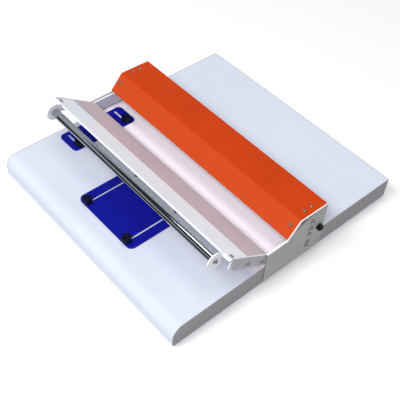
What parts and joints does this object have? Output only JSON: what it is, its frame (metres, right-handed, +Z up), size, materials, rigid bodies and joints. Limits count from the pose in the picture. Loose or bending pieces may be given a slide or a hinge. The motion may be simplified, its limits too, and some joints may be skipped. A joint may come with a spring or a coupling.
{
  "type": "paper creasing machine",
  "caption": "Desktop paper creaser: thick board, folded screwed-on cover over the blade, lever frame with a grip bar, sliding stop plate and side guide on knobs.",
  "frame": {"origin": "on the desk, under the middle of the board", "axes": "+Z up, +Y towards the rear, away from the grip bar, +X to the right"},
  "size_m": [0.52, 0.54, 0.1422],
  "materials": {
    "board_top": "smooth white laminate on fibreboard",
    "board_edge": "matte grey edge band",
    "rubber": "matte",
    "zinc": "bright zinc plated",
    "brass": "turned",
    "tool_steel": "ground",
    "plate_grey": "satin light grey powder coat",
    "cover_orange": "semi-gloss orange powder coat",
    "lever_white": "satin white powder coat",
    "panel_steel": "satin pale grey coat",
    "chrome": "polished",
    "black_steel": "black oxide",
    "bronze": "sintered bronze",
    "spring_steel": "spring wire",
    "stop_blue": "gloss blue coat",
    "knob_black": "moulded, fine grain"
  },
  "bodies": {
    "base": {"base_board": "board_top", "edge_band_left": "board_edge", "edge_band_right": "board_edge", "edge_band_rear": "board_edge", "rubber_feet": "rubber", "foot_screws": "zinc", "threaded_inserts": "brass", "crease_matrix": "tool_steel", "matrix_screws": "zinc", "side_plate_left": "plate_grey", "side_plate_right": "plate_grey", "side_bolts": "zinc", "spacer_tubes": "zinc", "bearing_block_left": "plate_grey", "bearing_block_right": "plate_grey", "block_screws": "black_steel", "pivot_bolts": "black_steel", "pivot_bushes": "bronze", "tie_rod": "zinc", "top_cover": "cover_orange", "cover_screws": "zinc", "return_springs": "spring_steel"},
    "lever": {"lever_arm_left": "lever_white", "lever_arm_right": "lever_white", "lever_panel": "panel_steel", "grip_strip": "lever_white", "panel_screws": "zinc", "panel_nuts": "zinc", "strip_screws": "zinc", "strip_nuts": "zinc", "handle_end_plate_left": "lever_white", "handle_end_plate_right": "lever_white", "handle_bar": "chrome", "handle_bolts": "zinc", "press_beam": "tool_steel", "beam_screws": "black_steel", "crease_blade": "tool_steel", "blade_clamp": "tool_steel", "clamp_screws": "black_steel"},
    "stop": {"stop_plate": "stop_blue"},
    "guide": {"side_guide": "stop_blue"},
    "left_stop_knob": {"stop_knob_left": "knob_black"},
    "right_stop_knob": {"stop_knob_right": "knob_black"},
    "front_guide_knob": {"guide_knob_front": "knob_black"},
    "rear_guide_knob": {"guide_knob_rear": "knob_black"}
  },
  "joints": [
    {"name": "lever_press", "type": "hinge", "parent": "base", "child": "lever", "pos_m": [0, 0.064, 0.065], "axis": [1, 0, 0], "range_deg": [0, 3.2], "stiffness_Nm_per_rad": 24, "springref_deg": -28.65, "deforming": ["return_springs"]},
    {"name": "stop_slide", "type": "slide", "parent": "base", "child": "stop", "axis": [0, -1, 0], "range_m": [0, 0.084]},
    {"name": "guide_slide", "type": "slide", "parent": "base", "child": "guide", "axis": [1, 0, 0], "range_m": [0, 0.036]},
    {"name": "left_stop_knob_turn", "type": "hinge", "parent": "base", "child": "left_stop_knob", "pos_m": [-0.058, -0.216, 0.052], "axis": [0, 0, 1], "range_deg": [0, 360]},
    {"name": "right_stop_knob_turn", "type": "hinge", "parent": "base", "child": "right_stop_knob", "pos_m": [0.058, -0.216, 0.052], "axis": [0, 0, 1], "range_deg": [0, 360]},
    {"name": "front_guide_knob_turn", "type": "hinge", "parent": "base", "child": "front_guide_knob", "pos_m": [-0.19, -0.1415, 0.052], "axis": [0, 0, 1], "range_deg": [0, 360]},
    {"name": "rear_guide_knob_turn", "type": "hinge", "parent": "base", "child": "rear_guide_knob", "pos_m": [-0.19, -0.028, 0.052], "axis": [0, 0, 1], "range_deg": [0, 360]}
  ]
}
